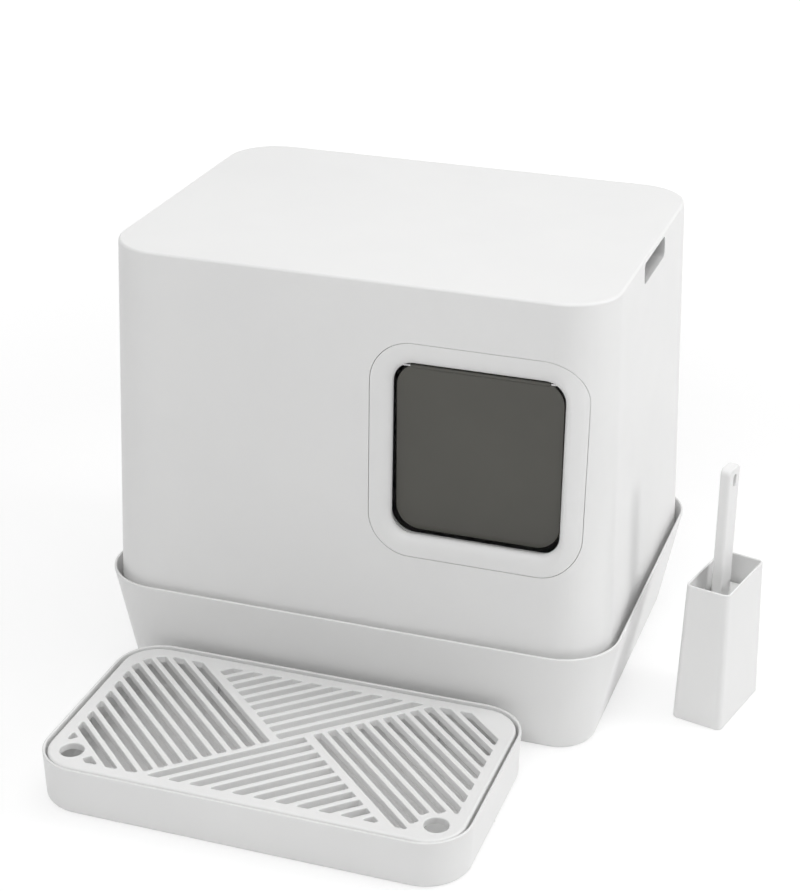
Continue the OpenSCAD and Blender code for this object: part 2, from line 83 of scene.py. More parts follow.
def lying(line, z):
    # flat outline laid at a height
    return np.c_[line, np.full(len(line), z)]


def standing(line, x):
    # flat outline stood up across the x axis
    return np.c_[np.full(len(line), x), line]


def loft(name, rings, material, closed=False):
    # skin through rings of equal count, each joined to the next: closed goes round to the first, and
    # otherwise the first and last ring get a flat cap
    count, faces = len(rings[0]), []
    for r in range(len(rings) if closed else len(rings) - 1):
        low, high = r * count, ((r + 1) % len(rings)) * count
        for a in range(count):
            b = (a + 1) % count
            faces.append((low + a, low + b, high + b, high + a))
    if not closed:
        faces.append(tuple(reversed(range(count))))
        faces.append(tuple((len(rings) - 1) * count + a for a in range(count)))
    return makeMesh(name, np.concatenate(rings), faces, material)


def roundedBox(name, low, high, edge, material):
    # box with rounded edges: rings drawn in by edge * (1 - sin a) as they near either end
    low, high = np.array(low, float), np.array(high, float)
    size, middle = high - low, (high + low) / 2
    rings = [(edge * (1 - math.sin(a)), low[2] + edge * (1 - math.cos(a))) for a in arc(4)]
    rings += [(inset, low[2] + high[2] - z) for inset, z in reversed(rings)]
    return loft(name, [roundedRing(size[0] - 2 * i, size[1] - 2 * i, max(edge - i, 0.05), z, 4)
                       + np.array([*middle[:2], 0]) for i, z in rings], material)


def carve(piece, tool):
    # piece less tool, and the tool is used up
    change = piece.modifiers.new("carve", "BOOLEAN")
    change.operation = "DIFFERENCE"
    change.solver = "EXACT"
    change.object = tool
    graph = bpy.context.evaluated_depsgraph_get()
    mesh = bpy.data.meshes.new_from_object(piece.evaluated_get(graph))
    piece.modifiers.clear()
    piece.data = mesh
    bpy.data.objects.remove(tool)


def join(piece, others):
    # one object of several closed skins
    with bpy.context.temp_override(active_object=piece, object=piece, selected_objects=[piece] + others,
                                   selected_editable_objects=[piece] + others):
        bpy.ops.object.join()
    return piece


def finishPiece(piece, body, node, angle=32):
    # smooth shading with edges sharper than the angle kept, and the piece's place in the frame
    mesh = piece.data
    mesh.polygons.foreach_set("use_smooth", np.ones(len(mesh.polygons), dtype=bool))
    mesh.set_sharp_from_angle(angle=math.radians(angle))
    weigh = piece.modifiers.new("weigh", "WEIGHTED_NORMAL")
    weigh.keep_sharp = True
    weigh.weight = 100
    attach(piece, body)
    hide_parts(node)
    print("made", piece.name, len(mesh.polygons))


# shared by all moulded finishes: how fine the mottle and the change of gloss are, and the grain's strength
finishDict = dict(mottle=7.0, gloss=22.0, bump=0.35, ior=1.49, noiseLow=0.3, noiseHigh=0.7)


def addNode(tree, kind, **values):
    # new shader node with its settings
    made = tree.nodes.new(kind)
    for key, value in values.items():
        setattr(made, key, value)
    return made


def noise(tree, coords, scale, detail, rough=0.5):
    # noise value at the given fineness, in parts per metre
    made = addNode(tree, "ShaderNodeTexNoise")
    made.inputs["Scale"].default_value = scale
    made.inputs["Detail"].default_value = detail
    made.inputs["Roughness"].default_value = rough
    tree.links.new(coords, made.inputs["Vector"])
    return made.outputs["Fac"]


def mapRange(tree, value, fromLow, fromHigh, low, high):
    # low + (high - low) * (value - fromLow) / (fromHigh - fromLow), held between low and high
    made = addNode(tree, "ShaderNodeMapRange")
    for socket, number in (("From Min", fromLow), ("From Max", fromHigh), ("To Min", low), ("To Max", high)):
        made.inputs[socket].default_value = number
    tree.links.new(value, made.inputs["Value"])
    return made.outputs["Result"]


def spread(tree, value, low, high):
    # noise stretched to run from low to high
    return mapRange(tree, value, finishDict["noiseLow"], finishDict["noiseHigh"], low, high)


def moulded(name, light, dark, rough, grain, grainDepth, stretch=(1, 1, 1)):
    # moulded surface: a slow mottle of two tones, a finer change of gloss, and a fine grain as bump
    material = bpy.data.materials.new(name)
    material.use_nodes = True
    tree = material.node_tree
    shader = tree.nodes["Principled BSDF"]
    mapping = addNode(tree, "ShaderNodeMapping")
    mapping.inputs["Scale"].default_value = stretch
    tree.links.new(addNode(tree, "ShaderNodeTexCoord").outputs["Object"], mapping.inputs["Vector"])
    coords = mapping.outputs["Vector"]
    tone = addNode(tree, "ShaderNodeMix", data_type="RGBA")
    tone.inputs["A"].default_value = (*dark, 1)
    tone.inputs["B"].default_value = (*light, 1)
    tree.links.new(spread(tree, noise(tree, coords, finishDict["mottle"], 4.0), 0, 1), tone.inputs["Factor"])
    tree.links.new(tone.outputs["Result"], shader.inputs["Base Color"])
    gloss = noise(tree, coords, finishDict["gloss"], 5.0, 0.6)
    tree.links.new(spread(tree, gloss, rough[0], rough[1]), shader.inputs["Roughness"])
    bump = addNode(tree, "ShaderNodeBump")
    bump.inputs["Strength"].default_value = finishDict["bump"]
    bump.inputs["Distance"].default_value = grainDepth
    tree.links.new(noise(tree, coords, grain, 2.0, 0.6), bump.inputs["Height"])
    tree.links.new(bump.outputs["Normal"], shader.inputs["Normal"])
    shader.inputs["IOR"].default_value = finishDict["ior"]
    return material


# light and dark tone, range of roughness, the grain's parts per metre and its depth in metres
whitePlastic = moulded("whitePlastic", (0.835, 0.835, 0.83), (0.815, 0.815, 0.812), (0.31, 0.39),
                       1400.0, 0.00004)
flapPlastic = moulded("flapPlastic", (0.083, 0.081, 0.070), (0.074, 0.072, 0.063), (0.42, 0.52),
                      1800.0, 0.00003)
steel = moulded("steel", (0.60, 0.60, 0.61), (0.50, 0.50, 0.51), (0.22, 0.34), 900.0, 0.00002, (0.05, 1, 1))
steel.node_tree.nodes["Principled BSDF"].inputs["Metallic"].default_value = 1.0
print("made finishes", whitePlastic.name, flapPlastic.name, steel.name)

# sizes that several pieces share; wallRing: distance below the top of a ring that keeps the wall straight
hoodTop = dict(width=540.0, depth=396.0, radius=56.6, height=412.0, draft=math.radians(1.63), seat=95.0,
               edge=3.0, wallRing=40.0, steps=20)
door = dict(x=139.8, up=233.0, width=180.0, height=190.0, radius=22.0, band=23.5)
doorY = -hoodTop["depth"] / 2 - (hoodTop["height"] - door["up"]) * math.tan(hoodTop["draft"])
doorPlace = (Matrix.Translation((door["x"], doorY, hoodTop["seat"] + door["up"]))
             @ Matrix.Rotation(math.pi / 2 - hoodTop["draft"], 4, "X"))

# skirt and ledge: depths behind the front face; doorCut and gripCut: where the cutters start and end
hoodDict = dict(wall=3.0, ledge=18.0, skirt=15.0, collarWall=2.5, doorCut=-4.0, lip=10.0, lipWall=2.5,
                lipEdge=1.2, gripLong=96.0, gripTall=23.0, gripRadius=6.0, gripDrop=5.0, gripCut=(-5.0, 20.0))


def placed(points, matrix):
    # points moved by a 4 x 4 matrix
    place = np.array(matrix)
    return np.asarray(points) @ place[:3, :3].T + place[:3, 3]


def onDoor(points):
    # from the doorway's own axes, x right, y up the front face and z out of it
    return placed(points, doorPlace)


def hoodRing(inset, up, extra=0.0):
    # outline of the hood's wall drawn in by inset and extra, at a height above its lower edge
    half = (hoodTop["height"] - up) * math.tan(hoodTop["draft"])
    return roundedRing(hoodTop["width"] + 2 * (half - inset - extra),
                       hoodTop["depth"] + 2 * (half - inset - extra),
                       hoodTop["radius"] - inset - extra, hoodTop["seat"] + up, hoodTop["steps"])


def hoodSolid(name, inset):
    # the hood's form drawn in on all its faces: leaning walls, then a quarter circle up to the flat top
    rings = [hoodRing(inset, -inset), hoodRing(inset, hoodTop["height"] - hoodTop["wallRing"])]
    top, fillet = hoodTop["height"] - inset, hoodTop["edge"]
    for a in arc(9):
        rings.append(hoodRing(inset, top - fillet * (1 - math.sin(a)), fillet * (1 - math.cos(a))))
    return loft(name, rings, whitePlastic)


def doorSlab(name, low, high, grow):
    # rounded slab between two depths behind the hood's front face
    rings = [onDoor(roundedRing(door["width"] + 2 * grow, door["height"] + 2 * grow,
                                door["radius"] + grow, -depth)) for depth in (high, low)]
    return loft(name, rings, whitePlastic)


def gripSlab(name, side, low, high, grow, rim=0.0):
    # rounded slab through a side wall, from a depth outside to a depth inside, its inner edge rounded by rim
    middle = hoodTop["height"] - hoodDict["gripDrop"] - hoodDict["gripTall"] / 2
    wallX = hoodTop["width"] / 2 + (hoodTop["height"] - middle) * math.tan(hoodTop["draft"])
    steps = [(high - rim * (1 - math.sin(a)), grow - rim * (1 - math.cos(a))) for a in arc(5)]
    rings = []
    for depth, more in [(low, grow)] + (steps if rim else [(high, grow)]):
        flat = roundedRing(hoodDict["gripLong"] + 2 * more, hoodDict["gripTall"] + 2 * more,
                           hoodDict["gripRadius"] + more, 0)
        ring = np.c_[np.full(len(flat), wallX - depth), flat[:, 0], hoodTop["seat"] + middle + flat[:, 1]]
        ring[:, 0] *= side
        rings.append(ring[::-1] if side > 0 else ring)
    return loft(name, rings, whitePlastic)


hood = hoodSolid("hood", 0.0)
inside = hoodSolid("inside", hoodDict["wall"])
carve(inside, doorSlab("collar", 0.0, hoodDict["ledge"], door["band"] + hoodDict["collarWall"]))
for side in (-1, 1):
    carve(inside, gripSlab("lip", side, 0.0, hoodDict["wall"] + hoodDict["lip"], hoodDict["lipWall"],
                           hoodDict["lipEdge"]))
carve(hood, inside)
carve(hood, doorSlab("cut", hoodDict["doorCut"], hoodDict["skirt"], door["band"]))
carve(hood, doorSlab("cut", 0.0, hoodDict["ledge"] + 1, door["band"] - hoodDict["collarWall"]))
for side in (-1, 1):
    carve(hood, gripSlab("cut", side, *hoodDict["gripCut"], 0.0))
finishPiece(hood, "hood", "hood_shell")


def tray(name, width, depth, radius, height, slope, foot, wall, centre, leastRadius):
    # closed wall: up the outside from a rounded foot, over a round rim, and down the inside to the floor
    def at(inset, z):
        # outline drawn in by inset, at a height
        return (roundedRing(width - 2 * inset, depth - 2 * inset, max(radius - inset, leastRadius), z)
                + np.array([*centre, 0]))
    rings, half = [], wall / 2
    for a in arc(8):
        z = foot * (1 - math.cos(a))
        rings.append(at((height - z) * slope + foot * (1 - math.sin(a)), z))
    for a in arc(9, 0, 180):
        rings.append(at(half * slope + half - half * math.cos(a), height - half + half * math.sin(a)))
    for a in arc(8, 90, 0):
        z = wall + foot * (1 - math.cos(a))
        rings.append(at((height - z) * slope + wall + foot * (1 - math.sin(a)), z))
    return loft(name, rings, whitePlastic)


baseDict = dict(width=581.375, depth=437.375, radius=65.564, height=124.0, foot=5.0, wall=3.0,
                slope=math.tan(math.radians(11.05)), centre=(0.0, 0.0), leastRadius=4.0)
base = tray("base", **baseDict)
finishPiece(base, "ground_set", "base_tray")

stepDict = dict(width=459.0, depth=258.0, radius=50.0, height=54.0, slope=2.0 / 54.0, foot=5.0, wall=3.0,
                centre=(-16.0, -344.0174), leastRadius=4.0)
# inner and outer: how far the two ends of a rib lie inside the rim's outer face
ribDict = dict(low=2.0, top=41.9, inner=10.0, outer=1.8, wide=2.0, spread=128.0, edge=0.6)
step = tray("stepTray", **stepDict)
ribs, reach = [], ribDict["inner"] - ribDict["outer"]
for side in (-1, 1):
    sideX = side * (stepDict["width"] / 2 - ribDict["outer"] - reach / 2)
    places = [(sideX, 0.0, reach, ribDict["wide"])]  # middle x and y, width and depth
    for end in (-1, 1):
        endY = end * (stepDict["depth"] / 2 - ribDict["outer"] - reach / 2)
        places.append((side * ribDict["spread"], endY, ribDict["wide"], reach))
    for x, y, dx, dy in places:
        x, y = x + stepDict["centre"][0], y + stepDict["centre"][1]
        ribs.append(roundedBox("rib", (x - dx / 2, y - dy / 2, ribDict["low"]),
                               (x + dx / 2, y + dy / 2, ribDict["top"]), ribDict["edge"], whitePlastic))
join(step, ribs)
finishPiece(step, "ground_set", "step_tray")

# slot, pitch, strip and longStrip: widths across the slots; border: width of the solid rim; hole, holeSide
# and holeFront: the finger holes' radius and their distances from the edges; barRound and holeRound: rounding
# at the top face; skirtFoot: the skirt's rounded foot, as distance in from either of its faces and height
gridDict = dict(width=446.0, depth=245.0, radius=40.0, top=53.0, bar=8.0, skirt=3.0, edge=3.2, border=14.0,
                slot=9.6, pitch=15.6, slant=43.0, lines=21, strip=10.0, longStrip=6.5, stagger=34.0,
                shortShift=6.5, longShift=-4.0, hole=12.5, holeSide=28.0, holeFront=30.0, holeLand=4.0,
                barRound=1.1, holeRound=1.5, corner=1.6, lowEdge=0.4, skirtEdge=0.8,
                skirtFoot=((0.9, 42.2), (0.3, 42.45), (0.0, 43.0)))
slant = math.radians(gridDict["slant"])
alongRight = np.array([math.cos(slant), math.sin(slant)])
alongLeft = np.array([math.cos(slant), -math.sin(slant)])
acrossRight = np.array([-math.sin(slant), math.cos(slant)])
acrossLeft = np.array([math.sin(slant), math.cos(slant)])
fingerHoles = [np.array([side * (gridDict["width"] / 2 - gridDict["holeSide"]),
                         gridDict["holeFront"] - gridDict["depth"] / 2]) for side in (-1, 1)]
gridMiddle = np.array([*stepDict["centre"], 0.0])
farOff, parallel = 1000.0, 0.001  # longer than any slot, and the least slope that counts as one


def slotSpan(point, way, planes):
    # stretch of the line point + t * way that lies inside every half plane normal . p <= reach
    low, high = -farOff, farOff
    for normal, reach in planes:
        gap, rate = reach - normal @ point, normal @ way
        if abs(rate) < parallel:
            if gap < -parallel:
                return 1.0, -1.0
        elif rate > 0:
            high = min(high, gap / rate)
        else:
            low = max(low, gap / rate)
    return low, high


def slotPieces(point, way, planes):
    # the slot's two starts and two ends, one for either side of it, less the land round a finger hole
    side = np.array([-way[1], way[0]]) * gridDict["slot"] / 2
    spans = np.array([slotSpan(point - side, way, planes), slotSpan(point + side, way, planes)])
    pieces = [(spans[:, 0], spans[:, 1])]
    for hole in fingerHoles:
        centre = (hole - point) @ way
        miss = np.linalg.norm(hole - point - centre * way)
        keep = gridDict["hole"] + gridDict["holeLand"] + gridDict["slot"] / 2
        if miss < keep:
            half = math.sqrt(keep ** 2 - miss ** 2)
            pieces = [piece for low, high in pieces for piece in ((low, np.minimum(high, centre - half)),
                                                                  (np.maximum(low, centre + half), high))]
    return [np.array([point - side + way * low[0], point - side + way * high[0],
                      point + side + way * high[1], point + side + way * low[1]])
            for low, high in pieces if (high - low).min() > gridDict["slot"] / 3]  # shorter ones stay solid


def allSlots():
    # four fields of parallel slots, each between the border and the strips beside it
    g, half, r = gridDict, gridDict["slot"] / 2, gridDict["radius"]
    land, longLand = g["strip"] / 2, g["longStrip"] / 2
    left, right, long = g["shortShift"] - g["stagger"] / 2, g["shortShift"] + g["stagger"] / 2, g["longShift"]
    border = []
    for a in np.radians(np.arange(0, 360, 22.5)):
        normal = np.array([math.cos(a), math.sin(a)])
        border.append((normal, abs(normal[0]) * (g["width"] / 2 - g["border"] - r)
                       + abs(normal[1]) * (g["depth"] / 2 - g["border"] - r) + r))
    above, below = (-acrossRight, -long - longLand), (acrossRight, long - longLand)
    fields = ((acrossLeft, left - land - half, -1, alongLeft, [(acrossLeft, left - land), above]),
              (acrossLeft, right + land + half, 1, alongLeft, [(-acrossLeft, -right - land), below]),
              (acrossRight, long + longLand + half, 1, alongRight, [(-acrossLeft, -left - land), above]),
              (acrossRight, long - longLand - half, -1, alongRight, [(acrossLeft, right - land), below]))
    found = []
    for across, start, sign, way, edges in fields:
        for k in range(g["lines"]):
            found += slotPieces(across * (start + sign * k * g["pitch"]), way, border + edges)
    return found


def roundedCorners(corners, radius, grow):
    # outline moved outwards by grow, each corner an arc whose centre lies radius inside both of its sides
    before, after = corners - np.roll(corners, 1, axis=0), np.roll(corners, -1, axis=0) - corners
    before /= np.linalg.norm(before, axis=1)[:, None]
    after /= np.linalg.norm(after, axis=1)[:, None]
    sine = before[:, 0] * after[:, 1] - before[:, 1] * after[:, 0]
    centres = corners + (after - before) * (radius / sine)[:, None]
    start = np.arctan2(-before[:, 0], before[:, 1])
    turn = np.mod(np.arctan2(-after[:, 0], after[:, 1]) - start, 2 * math.pi)
    angle = start[:, None] + turn[:, None] * np.linspace(0, 1, 6)
    arcs = centres[:, None] + (radius + grow) * np.stack([np.cos(angle), np.sin(angle)], axis=-1)
    return arcs.reshape(-1, 2)


def gridRing(inset, z):
    # the grid's outline drawn in by inset, at a height
    return roundedRing(gridDict["width"] - 2 * inset, gridDict["depth"] - 2 * inset,
                       gridDict["radius"] - inset, z, 20) + gridMiddle


def through(name, outlineAt, soft):
    # cutter for a hole in the plate: its outline widens by soft * (1 - cos a) as it nears the top face
    low, top, chamfer = gridDict["top"] - gridDict["bar"], gridDict["top"], gridDict["lowEdge"]
    steps = [(chamfer, low - 1.0), (chamfer, low), (0.0, low + chamfer)]
    steps += [(soft * (1 - math.cos(a)), top - soft * (1 - math.sin(a))) for a in arc(5)]
    steps.append((soft, top + 1.0))
    return loft(name, [lying(outlineAt(grow), z) + gridMiddle for grow, z in steps], whitePlastic)


underside, skirt, skirtEdge = gridDict["top"] - gridDict["bar"], gridDict["skirt"], gridDict["skirtEdge"]
gridRings = [gridRing(skirt + skirtEdge, underside), gridRing(skirt, underside - skirtEdge)]
gridRings += [gridRing(skirt - inset, z) for inset, z in reversed(gridDict["skirtFoot"])]
gridRings += [gridRing(inset, z) for inset, z in gridDict["skirtFoot"]]
gridRings += [gridRing(gridDict["edge"] * (1 - math.cos(a)),
                       gridDict["top"] - gridDict["edge"] * (1 - math.sin(a))) for a in arc(8)]
grid = loft("grid", gridRings, whitePlastic)
cutters = []
for corners in allSlots():
    cutters.append(through("slot", lambda grow: roundedCorners(corners, gridDict["corner"], grow),
                           gridDict["barRound"]))
for hole in fingerHoles:
    cutters.append(through("hole", lambda grow: circleLine(hole, gridDict["hole"] + grow),
                           gridDict["holeRound"]))
print("slots and holes", len(cutters))
carve(grid, join(cutters[0], cutters[1:]))
finishPiece(grid, "grid", "litter_grid", 40)

# soft: rounding of the lip; seamEdge: rounded edge at the seam, as distance in and depth; faceRings and
# backRings: rings between the seam and the roll, and behind them; postStarts: depths of the left and right
# posts, deeper at the right, where the face curves back
bezelDict = dict(seam=0.5, rollWide=17.0, rollDeep=8.0, face=6.0, lip=3.0, wall=2.5, soft=0.4,
                 seamEdge=((0.0, 0.5), (0.15, 0.15), (0.5, 0.0)), faceRings=(21.0, 19.0, 17.6),
                 backRings=(10.0, 16.0), post=4.0, postSide=102.0, postUp=60.0, postStarts=(4.5, 9.2))


def hoodDepth(points, inset):
    # how far behind the front face the hood's own surface lies: past the corner's start it is
    # radius - sqrt(radius^2 - reach^2), with reach held just under the radius
    places = onDoor(lying(points, 0))
    below = hoodTop["seat"] + hoodTop["height"] - places[:, 2]
    half = hoodTop["width"] / 2 + below * math.tan(hoodTop["draft"])
    radius = hoodTop["radius"] - inset
    reach = np.clip(np.abs(places[:, 0]) - (half - hoodTop["radius"]), 0, radius * 0.999)
    return inset + radius - np.sqrt(radius ** 2 - reach ** 2)


def bezelRing(grow, depth, follow=""):
    # the doorway's outline grown outwards, at a depth, or where the hood's own surface is if that is deeper
    flat = roundedRing(door["width"] + 2 * grow, door["height"] + 2 * grow, door["radius"] + grow, 0,
                       24)[:, :2]
    if follow == "front":
        z = np.maximum(hoodDepth(flat, 0.0) + depth, 0)
    elif follow == "roll":
        z = np.maximum(hoodDepth(flat, 0.0), depth)
    elif follow == "back":
        z = np.maximum(hoodDepth(flat, hoodDict["wall"]), depth)
    else:
        z = np.full(len(flat), depth)
    return onDoor(np.c_[flat, -z])


seamAt, lipEnd = door["band"] - bezelDict["seam"], bezelDict["face"] + bezelDict["lip"]
soft, wall, face = bezelDict["soft"], bezelDict["wall"], bezelDict["face"]
bezelRings = [bezelRing(seamAt, hoodDict["skirt"])]
bezelRings += [bezelRing(seamAt - inset, depth, "front") for inset, depth in bezelDict["seamEdge"]]
bezelRings += [bezelRing(grow, 0.0, "front") for grow in bezelDict["faceRings"]]
bezelRings += [bezelRing(bezelDict["rollWide"] * (1 - math.sin(a)),
                         bezelDict["rollDeep"] * (1 - math.cos(a)), "roll") for a in arc(13)]
bezelRings += [bezelRing(grow, depth) for grow, depth in ((0.0, lipEnd - soft), (soft, lipEnd),
                                                          (wall - soft, lipEnd), (wall, lipEnd - soft))]
bezelRings += [bezelRing(grow, face, "back") for grow in (wall, *bezelDict["backRings"], seamAt - wall)]
bezelRings.append(bezelRing(seamAt - wall, hoodDict["skirt"]))
bezel = loft("bezel", bezelRings, whitePlastic, closed=True)
posts = []
for side, start in zip((-1, 1), bezelDict["postStarts"]):
    for end in (-1, 1):
        line = circleLine((side * bezelDict["postSide"], end * bezelDict["postUp"]), bezelDict["post"], 24)
        posts.append(loft("post", [onDoor(lying(line, -depth)) for depth in (hoodDict["ledge"], start)],
                          whitePlastic))
join(bezel, posts)
finishPiece(bezel, "hood", "door_bezel", 40)

# axisY and axisZ: the hinge's line; up: height of the hinge above the flap's middle;
# edge: the flap's rounded edge, as depth from its middle plane and distance in
flapDict = dict(width=176.0, height=186.0, radius=26.0, up=90.5, axisY=-188.5243, axisZ=418.1220, barrel=2.5,
                barrelEdge=0.3, edge=((-1.25, 0.9), (-0.95, 0.25), (-0.5, 0.0), (0.5, 0.0), (0.95, 0.25),
                                      (1.25, 0.9)))
axisY, axisZ, up = flapDict["axisY"], flapDict["axisZ"], flapDict["up"]
flapRings = []
for depth, inset in flapDict["edge"]:
    flat = roundedRing(flapDict["width"] - 2 * inset, flapDict["height"] - 2 * inset,
                       flapDict["radius"] - inset, 0, 20)
    flat[:, 1] = np.minimum(flat[:, 1], up)  # cut off flat at the hinge, where the barrel takes over
    flapRings.append(np.c_[flat[:, 0] + door["x"], np.full(len(flat), axisY - depth),
                           axisZ - up + flat[:, 1]])
flap = loft("flap", flapRings, flapPlastic)
# the barrel is as long as the flap is wide at the hinge: straight part + sqrt(radius^2 - rise^2)
rise = up - (flapDict["height"] / 2 - flapDict["radius"])
barrelHalf = flapDict["width"] / 2 - flapDict["radius"] + math.sqrt(flapDict["radius"] ** 2 - rise ** 2)
chamfer = flapDict["barrelEdge"]
barrel = []
for x, inset in ((-barrelHalf, chamfer), (-barrelHalf + chamfer, 0.0), (barrelHalf - chamfer, 0.0),
                 (barrelHalf, chamfer)):
    line = circleLine((0, 0), flapDict["barrel"] - inset, 32)
    barrel.append(standing(line, door["x"] + x) + np.array([0, axisY, axisZ]))
join(flap, [loft("barrel", barrel, flapPlastic)])
finishPiece(flap, "flap", "flap_panel", 40)

# foot and floor: the rounded foot outside and inside, as distance in and height; hole: y, z and radius;
# drill: where the cutter of that hole starts and ends
holdDict = dict(width=50.0, depth=96.0, radius=7.0, leastRadius=2.0, height=164.0, flare=4.0, wall=2.5,
                place=(376.9874, -46.0, 0.0), turn=-13.0, foot=((1.5, 0.0), (0.45, 0.45), (0.0, 1.5)),
                floor=((2.5, 5.0), (3.4, 3.4), (5.0, 2.5)), hole=(0.0, 138.0, 2.0), drill=(-32.0, -20.0))
holdTurn = Matrix.Rotation(math.radians(holdDict["turn"]), 4, "Z")
holdPlace = Matrix.Translation(holdDict["place"]) @ holdTurn


def onHolder(points):
    # from the holder's own axes, x away from the scoop's mouth and z up
    return placed(points, holdPlace)


def holdRing(inset, z):
    # outline of the holder's wall, wider by its flare towards the foot, drawn in by inset
    out = holdDict["flare"] * (1 - z / holdDict["height"]) - inset
    return onHolder(roundedRing(holdDict["width"] + 2 * out, holdDict["depth"] + 2 * out,
                                max(holdDict["radius"] - inset, holdDict["leastRadius"]), z, 8))


half = holdDict["wall"] / 2
holdRings = [holdRing(inset, z) for inset, z in holdDict["foot"]]
holdRings += [holdRing(half - half * math.cos(a), holdDict["height"] - half + half * math.sin(a))
              for a in arc(9, 0, 180)]
holdRings += [holdRing(inset, z) for inset, z in holdDict["floor"]]
holder = loft("holder", holdRings, whitePlastic)
line = circleLine(holdDict["hole"][:2], holdDict["hole"][2], 24)
carve(holder, loft("drill", [onHolder(standing(line, x)) for x in holdDict["drill"]], whitePlastic))
finishPiece(holder, "ground_set", "scoop_holder")

# tip: rise of the mouth's lower end; bend and share: how sharply the bed turns up, and up to what part of
# the height; soft: rounding of the two ends, less by innerSoft inside; mouthLow and mouthHigh: the mouth's
# cutter; slotDrop: land above the top row of slots; slotCut: where their cutters start and end
headDict = dict(width=40.0, depth=84.0, height=130.0, wall=2.5, round=7.0, leastRound=0.6, lift=2.8, soft=6.0,
                innerSoft=2.0, tip=3.0, bend=0.62, share=0.62, mouthLow=(-22.5, -39.5, 5.3),
                mouthHigh=(-10.5, 39.5, 123.3), mouthEdge=3.0, slotTall=22.0, slotWide=4.5, pitch=10.0,
                rowPitch=30.0, rows=3, columns=7, slotDrop=3.0, slotCut=(-5.0, 30.0))


def headProfile(inset):
    # side view: the mouth's lower end, the bed as (sin t ^ bend, share * (1 - cos t)), then both shoulders
    left, top, tip = -headDict["width"] / 2, headDict["height"] - inset, headDict["tip"]
    radius = max(headDict["round"] - inset, headDict["leastRound"])
    t, corner = arc(21), arc(7)
    bed = np.c_[left + tip + (headDict["width"] - tip - inset) * np.sin(t) ** headDict["bend"],
                inset + headDict["height"] * headDict["share"] * (1 - np.cos(t))]
    first = np.c_[-left - inset - radius + radius * np.cos(corner), top - radius + radius * np.sin(corner)]
    second = np.c_[left + inset + radius - radius * np.sin(corner), top - radius + radius * np.cos(corner)]
    return np.concatenate([[[left, inset + tip]], bed, first, second])


def headSolid(name, wall, fillet):
    # that profile carried across the head, drawn in by fillet * (1 - sin a) as it nears either end
    halfDepth = headDict["depth"] / 2 - wall
    ends = [(-halfDepth + fillet * (1 - math.cos(a)), fillet * (1 - math.sin(a))) for a in arc(7)]
    rings = []
    for y, inset in ends + [(-y, inset) for y, inset in reversed(ends)]:
        line = headProfile(wall + inset)
        rings.append(onHolder(np.c_[line[:, 0], np.full(len(line), y), line[:, 1] + headDict["lift"]])[::-1])
    return loft(name, rings, whitePlastic)


head = headSolid("scoopHead", 0.0, headDict["soft"])
carve(head, headSolid("inner", headDict["wall"], headDict["soft"] - headDict["innerSoft"]))
mouth = roundedBox("mouth", headDict["mouthLow"], headDict["mouthHigh"], headDict["mouthEdge"], whitePlastic)
mouth.data.transform(Matrix.Translation(Vector(holdDict["place"]) * unit) @ holdTurn)
carve(head, mouth)
topRow = (headDict["lift"] + headDict["height"] - headDict["round"] - headDict["slotTall"] / 2
          - headDict["slotDrop"])
cutters = []
for row in range(headDict["rows"]):
    for column in range(headDict["columns"]):
        middle = ((column - (headDict["columns"] - 1) / 2) * headDict["pitch"],
                  topRow - row * headDict["rowPitch"])
        line = uprightSlot(middle, headDict["slotTall"], headDict["slotWide"], 8)
        cutters.append(loft("slot", [onHolder(standing(line, x)) for x in headDict["slotCut"]], whitePlastic))
carve(head, join(cutters[0], cutters[1:]))
finishPiece(head, "scoop", "scoop_head")

# shift: from the head's middle towards its mouth; soft: rounding of the broad faces at the ends;
# hangDrop: from the top to the hang slot; tenonIn: how far the tenon runs up into the handle
handleDict = dict(thick=12.0, wide=28.0, radius=3.5, shift=-4.0, length=157.0, soft=1.2, hangWide=8.0,
                  hangTall=14.0, hangDrop=8.0, hangCut=(-10.0, 10.0), tenonThick=8.0, tenonWide=22.0,
                  tenonRadius=2.0, tenon=12.0, tenonIn=3.0)
foot = headDict["lift"] + headDict["height"]
topZ, corner, soft = foot + handleDict["length"], handleDict["wide"] / 4, handleDict["soft"]
shift = np.array([handleDict["shift"], 0.0, 0.0])
ends = []  # rise from the end, distance in at the sides: corner * (1 - sin a), and at the broad faces
for a in arc(10):
    rise = corner * (1 - math.cos(a))
    ends.append((rise, corner * (1 - math.sin(a)), soft * max(0.0, 1 - rise / soft) ** 2))
handleRings = []
for z, sides, faces in ([(foot + rise, i, e) for rise, i, e in ends]
                        + [(topZ - rise, i, e) for rise, i, e in reversed(ends)]):
    radius = min(handleDict["radius"], handleDict["thick"] / 2 - faces - 0.05)
    ring = roundedRing(handleDict["thick"] - 2 * faces, handleDict["wide"] - 2 * sides, radius, z, 8)
    handleRings.append(onHolder(ring + shift))
handle = loft("scoopHandle", handleRings, whitePlastic)
line = uprightSlot((0.0, topZ - handleDict["hangDrop"] - handleDict["hangTall"] / 2), handleDict["hangTall"],
                   handleDict["hangWide"], 12)
hang = [onHolder(standing(line, x) + shift) for x in handleDict["hangCut"]]
carve(handle, loft("hang", hang, whitePlastic))
tenon = [onHolder(roundedRing(handleDict["tenonThick"], handleDict["tenonWide"], handleDict["tenonRadius"],
                              z, 8) + shift)
         for z in (foot - handleDict["tenon"], foot + handleDict["tenonIn"])]
join(handle, [loft("tenon", tenon, whitePlastic)])
finishPiece(handle, "scoop", "scoop_handle")

# CAD pieces that stay, with a better finish
for node, material in (("door_inner_ring", whitePlastic), ("door_ring_screws", steel),
                       ("flap_hinge_rod", steel)):
    mesh = cadNodes[node].data
    for index in range(len(mesh.materials)):
        mesh.materials[index] = material
    print("kept", node)

